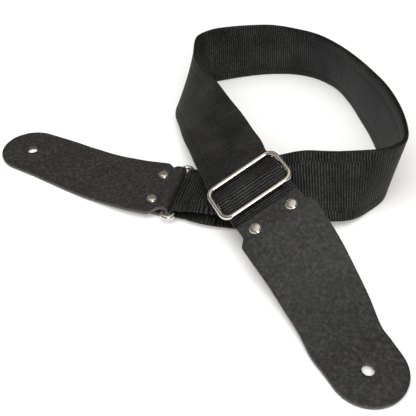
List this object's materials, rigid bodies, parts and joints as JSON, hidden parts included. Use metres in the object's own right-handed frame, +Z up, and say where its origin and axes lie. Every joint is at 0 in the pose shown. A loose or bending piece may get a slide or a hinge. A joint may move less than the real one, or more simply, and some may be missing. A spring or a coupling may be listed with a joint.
{
  "type": "guitar strap",
  "caption": "Ribbed webbing guitar strap coiled on a surface, doubled through a wire slider, with two leather ends that have button holes.",
  "frame": {"origin": "middle of the footprint, on the surface that the strap lies on", "axes": "+Z up; +X from the rear leather end towards the coil; +Y from the front leather end to the back of the coil"},
  "size_m": [0.3048, 0.3518, 0.0501],
  "materials": {
    "webbing": "matt black woven webbing with fine cross ribs",
    "thread": "black bonded thread",
    "leather": "black full-grain leather, satin, fine grain, lighter cut edges",
    "nickel": "bright nickel plate"
  },
  "bodies": {
    "strap": {"webbing_outer_rise": "webbing", "webbing_outer_back": "webbing", "webbing_outer_side": "webbing", "webbing_outer_front": "webbing", "webbing_outer_lead": "webbing", "webbing_inner_rise": "webbing", "webbing_inner_back": "webbing", "webbing_inner_side": "webbing", "webbing_inner_front": "webbing", "webbing_inner_lead": "webbing", "webbing_tail": "webbing", "webbing_ring_turn": "webbing", "leather_end_front": "leather", "rivet_caps_front": "nickel", "rivet_posts_front": "nickel", "rivet_backs_front": "nickel"},
    "slider": {"slider_frame": "nickel", "slider_centre_bar": "nickel", "webbing_slider_pass": "webbing", "webbing_end_loop": "webbing", "end_stitching": "thread"},
    "ring": {"ring_rear": "nickel"},
    "rear_end": {"leather_end_rear": "leather", "rivet_caps_rear": "nickel", "rivet_posts_rear": "nickel", "rivet_backs_rear": "nickel"}
  },
  "joints": [
    {"name": "slider_slide", "type": "slide", "parent": "strap", "child": "slider", "axis": [-0.4531, 0.8879, 0.0796], "range_m": [0, 0.025], "deforming": ["webbing_outer_lead", "webbing_inner_lead"]},
    {"name": "ring_swing", "type": "hinge", "parent": "strap", "child": "ring", "pos_m": [-0.00839, -0.00022, 0.00534], "axis": [0.2588, 0.9659, 0], "range_deg": [-20, 40]},
    {"name": "rear_end_swing", "type": "hinge", "parent": "ring", "child": "rear_end", "pos_m": [-0.01661, 0.00198, 0.00534], "axis": [0.2588, 0.9659, 0], "range_deg": [-20, 50]}
  ]
}
